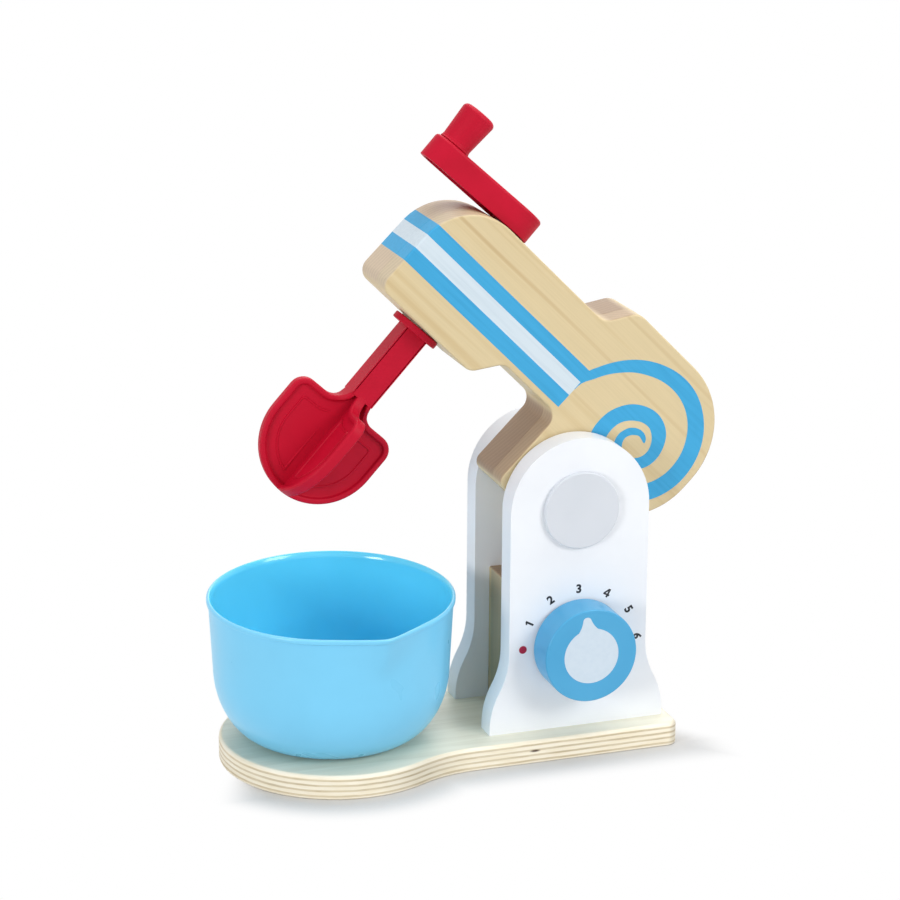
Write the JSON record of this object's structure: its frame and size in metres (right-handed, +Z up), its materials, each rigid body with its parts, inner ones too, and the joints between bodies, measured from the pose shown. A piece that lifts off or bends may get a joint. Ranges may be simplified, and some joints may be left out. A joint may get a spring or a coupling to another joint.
{
  "type": "toy stand mixer",
  "caption": "Wooden toy stand mixer with a tilting striped head, a hand crank that turns a paddle beater, a speed dial and a loose plastic bowl on a plywood base.",
  "frame": {"origin": "middle of the base board's length and width, on its underside", "axes": "+Z up, +X from the bowl to the uprights, the dial faces -Y"},
  "size_m": [0.2524, 0.1283, 0.3176],
  "materials": {
    "plywood": "clear-coated plywood, pale",
    "white_paint": "satin white painted board",
    "pine": "clear-coated bare pine",
    "printed_pine": "clear-coated pine with printed stripe and spiral",
    "dial_paint": "blue painted wood",
    "red_plastic": "moulded, soft gloss",
    "bowl_plastic": "moulded light blue, soft gloss",
    "steel": "zinc plated",
    "nylon": "moulded, off-white"
  },
  "bodies": {
    "stand": {"base_board": "plywood", "front_upright": "white_paint", "rear_upright": "white_paint", "spacer_block": "pine", "stop_dowel": "pine", "pivot_bolt": "steel", "pivot_nut": "steel", "pivot_washers": "steel", "friction_washers": "nylon", "front_cap": "white_paint", "rear_cap": "white_paint", "base_screws": "steel", "dial_washer": "nylon"},
    "dial": {"dial_knob": "dial_paint", "dial_axle": "pine", "dial_retainer": "steel"},
    "head": {"head_front_board": "printed_pine", "head_rear_board": "printed_pine", "upper_bush": "nylon", "lower_bush": "nylon"},
    "crank": {"crank_arm": "red_plastic", "crank_screw": "steel", "drive_shaft": "steel", "beater": "red_plastic", "knob_stud": "steel"},
    "crank_grip": {"crank_knob": "red_plastic"},
    "bowl": {"bowl": "bowl_plastic"}
  },
  "joints": [
    {"name": "head_tilt", "type": "hinge", "parent": "stand", "child": "head", "pos_m": [0.0608, 0, 0.124], "axis": [0, 1, 0], "range_deg": [-45, 0]},
    {"name": "crank_spin", "type": "hinge", "parent": "head", "child": "crank", "pos_m": [-0.01168, 0, 0.21331], "axis": [0.6756, 0, 0.7373], "continuous": true},
    {"name": "grip_spin", "type": "hinge", "parent": "crank", "child": "crank_grip", "pos_m": [0.00745, 0.00601, 0.29751], "axis": [0.6756, 0, 0.7373], "continuous": true},
    {"name": "dial_turn", "type": "hinge", "parent": "stand", "child": "dial", "pos_m": [0.0608, -0.04, 0.055], "axis": [0, -1, 0], "continuous": true},
    {"name": "bowl_lift", "type": "slide", "parent": "stand", "child": "bowl", "axis": [-0.9397, 0, 0.342], "range_m": [0, 0.2]}
  ]
}
